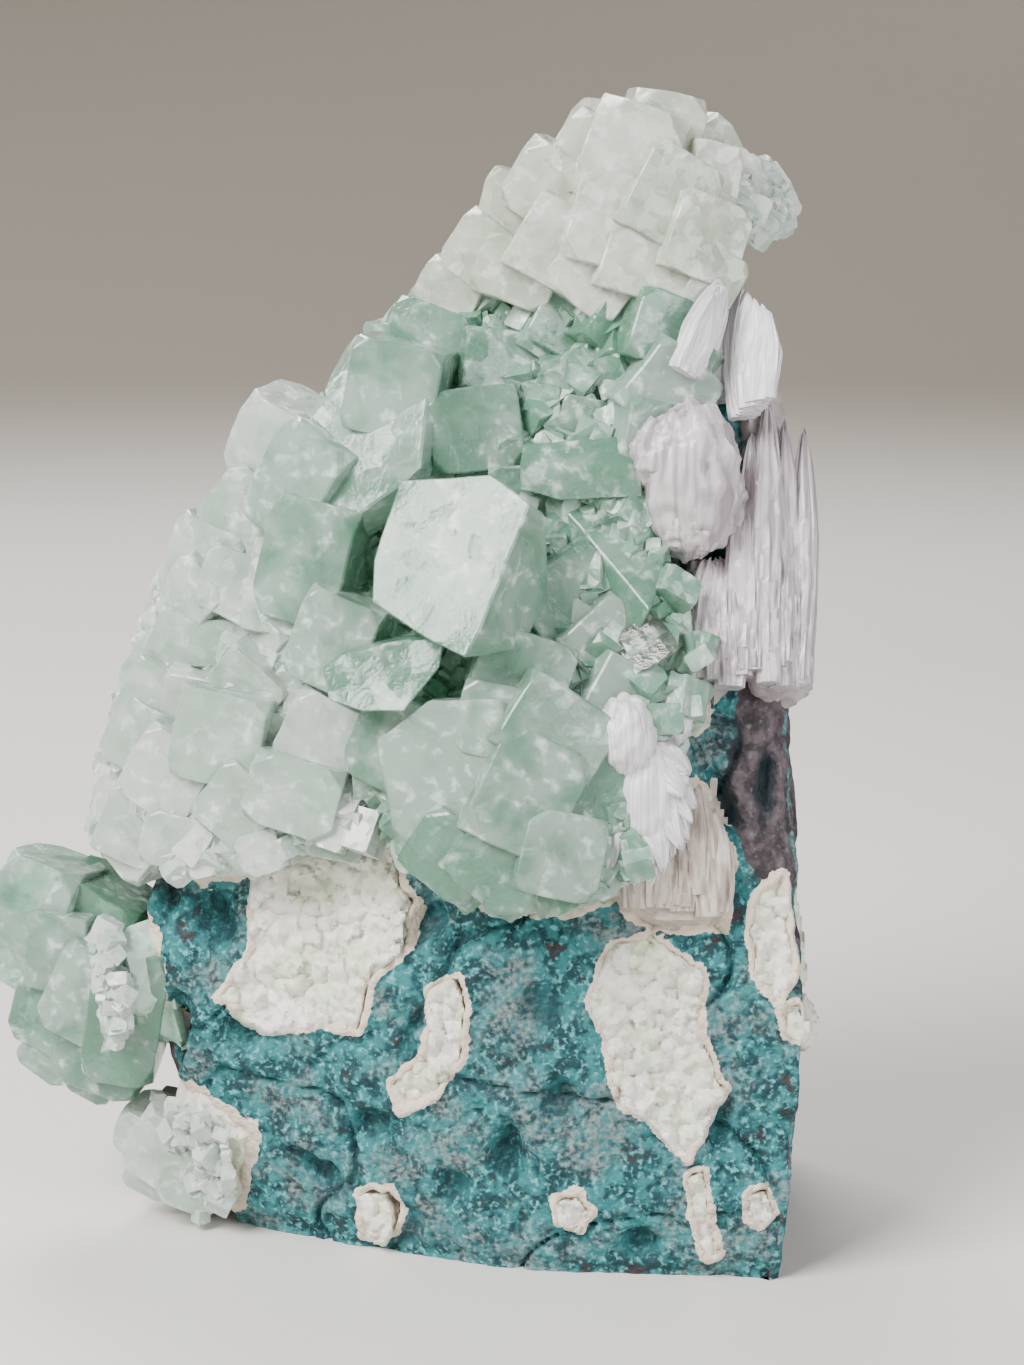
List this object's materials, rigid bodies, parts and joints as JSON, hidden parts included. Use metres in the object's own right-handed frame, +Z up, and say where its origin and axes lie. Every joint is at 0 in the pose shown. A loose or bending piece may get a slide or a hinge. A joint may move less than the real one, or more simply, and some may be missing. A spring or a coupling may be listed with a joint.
{
  "type": "apophyllite cluster",
  "caption": "Wedge of basalt with a blue-green skin, grown over with blocky green apophyllite crystals, pale druse and white stilbite.",
  "frame": {"origin": "middle of the bounding box, at the level surface the base stands on", "axes": "+Z up, +X to the right as seen from the crystal side, -Y towards that side (front)"},
  "size_m": [0.0842, 0.0478, 0.1132],
  "materials": {
    "basalt": "rough matt basalt with a blue-green skin",
    "apophyllite": "clear to cloudy mint green crystal, vitreous and pearly",
    "pale_crystal": "sugary pale crystal with small bright faces",
    "stilbite": "pearly white blades",
    "crust": "grey-lilac fibrous crust, pearly",
    "filling": "white to pale green granular filling"
  },
  "bodies": {
    "root": {"basalt_matrix": "basalt", "apophyllite_crystals": "apophyllite", "outlier_crystals": "apophyllite", "pale_druse": "pale_crystal", "summit_crystals": "pale_crystal", "stilbite_blades": "stilbite", "stilbite_ball": "stilbite", "stilbite_fan": "stilbite", "stilbite_crust": "crust", "stilbite_ledge": "crust", "filling_upper_left": "filling", "filling_right": "filling", "filling_right_edge": "filling", "filling_hook": "filling", "filling_sliver": "filling", "filling_low_left": "filling", "filling_low_middle": "filling", "filling_low_right": "filling", "filling_right_small": "filling", "foot_filling": "filling"}
  },
  "joints": []
}
